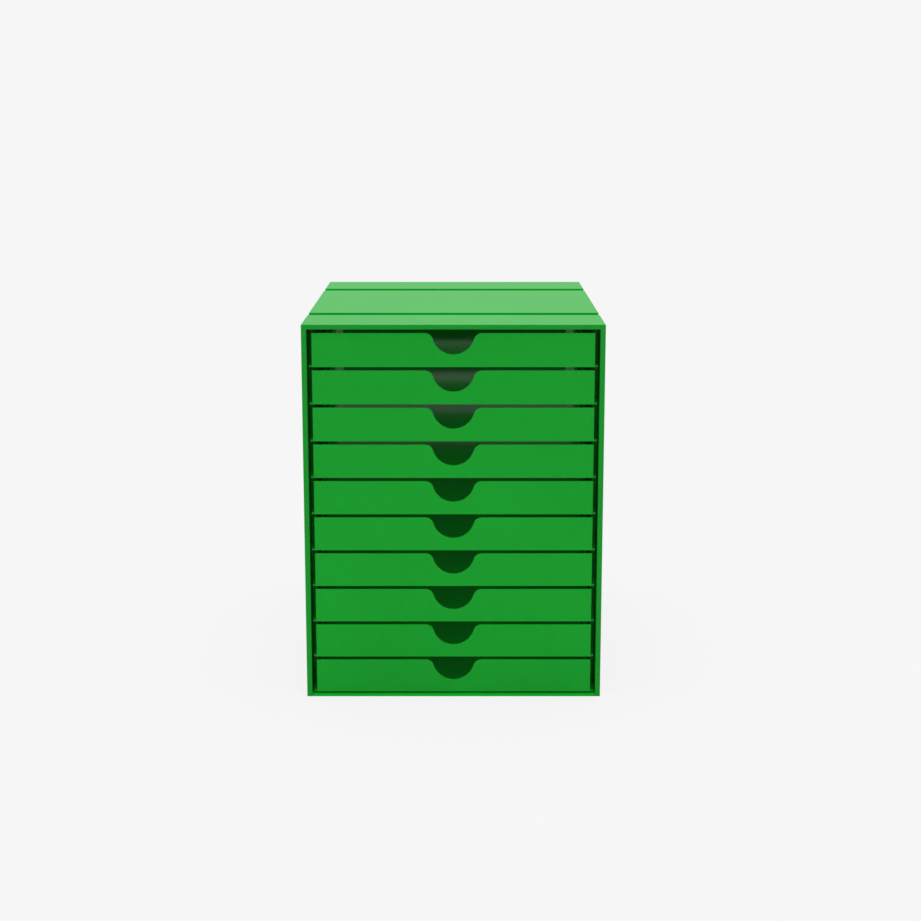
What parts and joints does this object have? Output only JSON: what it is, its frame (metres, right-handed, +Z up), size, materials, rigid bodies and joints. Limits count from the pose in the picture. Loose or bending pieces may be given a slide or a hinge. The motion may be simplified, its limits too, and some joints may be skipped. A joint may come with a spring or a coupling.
{
  "type": "drawer organizer",
  "caption": "Free-standing desktop organizer with a stack of shallow paper drawers that slide on side flanges and are pulled by a rounded finger cut-out.",
  "frame": {"origin": "on the surface it stands on, under the middle of the cabinet", "axes": "+Z up, drawers open towards -Y, +X to the right seen from the front"},
  "size_m": [0.264, 0.356, 0.337],
  "materials": {
    "cabinet_shell": "satin moulded",
    "drawer": "satin moulded",
    "runner_comb": "satin moulded"
  },
  "bodies": {
    "cabinet": {"left_side_panel": "cabinet_shell", "right_side_panel": "cabinet_shell", "top_panel": "cabinet_shell", "bottom_panel": "cabinet_shell", "left_runner_comb": "runner_comb", "right_runner_comb": "runner_comb"},
    "drawer_01": {"drawer_01": "drawer"},
    "drawer_02": {"drawer_02": "drawer"},
    "drawer_03": {"drawer_03": "drawer"},
    "drawer_04": {"drawer_04": "drawer"},
    "drawer_05": {"drawer_05": "drawer"},
    "drawer_06": {"drawer_06": "drawer"},
    "drawer_07": {"drawer_07": "drawer"},
    "drawer_08": {"drawer_08": "drawer"},
    "drawer_09": {"drawer_09": "drawer"},
    "drawer_10": {"drawer_10": "drawer"}
  },
  "joints": [
    {"name": "drawer_01_slide", "type": "slide", "parent": "cabinet", "child": "drawer_01", "axis": [0, -1, 0], "range_m": [0, 0.205]},
    {"name": "drawer_02_slide", "type": "slide", "parent": "cabinet", "child": "drawer_02", "axis": [0, -1, 0], "range_m": [0, 0.205]},
    {"name": "drawer_03_slide", "type": "slide", "parent": "cabinet", "child": "drawer_03", "axis": [0, -1, 0], "range_m": [0, 0.205]},
    {"name": "drawer_04_slide", "type": "slide", "parent": "cabinet", "child": "drawer_04", "axis": [0, -1, 0], "range_m": [0, 0.205]},
    {"name": "drawer_05_slide", "type": "slide", "parent": "cabinet", "child": "drawer_05", "axis": [0, -1, 0], "range_m": [0, 0.205]},
    {"name": "drawer_06_slide", "type": "slide", "parent": "cabinet", "child": "drawer_06", "axis": [0, -1, 0], "range_m": [0, 0.205]},
    {"name": "drawer_07_slide", "type": "slide", "parent": "cabinet", "child": "drawer_07", "axis": [0, -1, 0], "range_m": [0, 0.205]},
    {"name": "drawer_08_slide", "type": "slide", "parent": "cabinet", "child": "drawer_08", "axis": [0, -1, 0], "range_m": [0, 0.205]},
    {"name": "drawer_09_slide", "type": "slide", "parent": "cabinet", "child": "drawer_09", "axis": [0, -1, 0], "range_m": [0, 0.205]},
    {"name": "drawer_10_slide", "type": "slide", "parent": "cabinet", "child": "drawer_10", "axis": [0, -1, 0], "range_m": [0, 0.205]}
  ]
}
